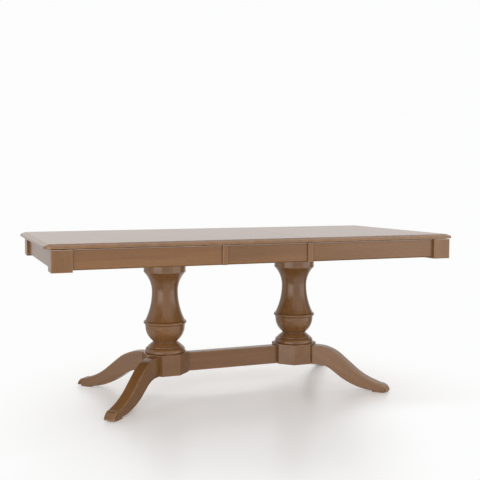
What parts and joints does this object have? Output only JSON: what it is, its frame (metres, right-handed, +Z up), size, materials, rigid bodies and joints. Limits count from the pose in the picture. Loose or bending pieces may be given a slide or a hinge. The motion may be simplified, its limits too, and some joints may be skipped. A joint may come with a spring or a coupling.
{
  "type": "extending dining table",
  "caption": "Rectangular extending dining table on turned pedestals with S-curved feet and a stretcher; geared slides part its top halves around a lift-out leaf.",
  "frame": {"origin": "on the floor under the middle of the table", "axes": "+X along the table's length, the way the right half slides out; the front faces -Y; +Z up"},
  "size_m": [1.89, 0.94, 0.762],
  "materials": {
    "stained_wood": "brown stain, satin lacquer",
    "plain_wood": "planed, unfinished",
    "zinc_steel": "zinc plated",
    "gear_nylon": "moulded"
  },
  "bodies": {
    "base": {"front_fixed_rail": "plain_wood", "rear_fixed_rail": "plain_wood", "left_bearer": "plain_wood", "left_pedestal_plate": "plain_wood", "left_column": "stained_wood", "left_plinth": "stained_wood", "left_tie_bolt": "zinc_steel", "front_left_foot": "stained_wood", "rear_left_foot": "stained_wood", "right_bearer": "plain_wood", "right_pedestal_plate": "plain_wood", "right_column": "stained_wood", "right_plinth": "stained_wood", "right_tie_bolt": "zinc_steel", "front_right_foot": "stained_wood", "rear_right_foot": "stained_wood", "centre_bearer": "plain_wood", "stretcher": "stained_wood", "foot_glides": "stained_wood", "foot_dowels": "plain_wood", "channel_block": "plain_wood", "rack_guide_channel": "zinc_steel", "pinion_pivot": "zinc_steel"},
    "right_half": {"right_half_top": "stained_wood", "right_seam_pins": "plain_wood", "right_end_apron": "stained_wood", "front_right_corner_block": "stained_wood", "rear_right_corner_block": "stained_wood", "front_right_apron": "stained_wood", "rear_right_apron": "stained_wood", "front_right_pilaster": "stained_wood", "rear_right_pilaster": "stained_wood", "front_right_moving_rail": "plain_wood", "rear_right_moving_rail": "plain_wood", "right_top_cleats": "plain_wood", "right_rack": "gear_nylon", "right_rack_block": "plain_wood"},
    "left_half": {"left_half_top": "stained_wood", "left_seam_pins": "plain_wood", "left_end_apron": "stained_wood", "front_left_corner_block": "stained_wood", "rear_left_corner_block": "stained_wood", "front_left_apron": "stained_wood", "rear_left_apron": "stained_wood", "front_left_pilaster": "stained_wood", "rear_left_pilaster": "stained_wood", "front_left_moving_rail": "plain_wood", "rear_left_moving_rail": "plain_wood", "left_top_cleats": "plain_wood", "left_rack": "gear_nylon", "left_rack_block": "plain_wood"},
    "leaf": {"leaf_top": "stained_wood", "leaf_front_apron": "stained_wood", "leaf_rear_apron": "stained_wood", "leaf_cleats": "plain_wood"},
    "pinion": {"pinion": "gear_nylon"}
  },
  "joints": [
    {"name": "right_half_slide", "type": "slide", "parent": "base", "child": "right_half", "axis": [1, 0, 0], "range_m": [0, 0.23]},
    {"name": "left_half_slide", "type": "slide", "parent": "base", "child": "left_half", "axis": [-1, 0, 0], "range_m": [0, 0.23]},
    {"name": "pinion_turn", "type": "hinge", "parent": "base", "child": "pinion", "pos_m": [0, 0, 0.72], "axis": [0, 0, 1], "range_deg": [-490, 0]},
    {"name": "leaf_lift", "type": "slide", "parent": "base", "child": "leaf", "axis": [0, 0, 1], "range_m": [0, 0.35]}
  ],
  "couplings": [
    {"joint": "left_half_slide", "follows": "right_half_slide", "ratio": 1},
    {"joint": "pinion_turn", "follows": "right_half_slide", "rad_per_m": -37.037}
  ]
}
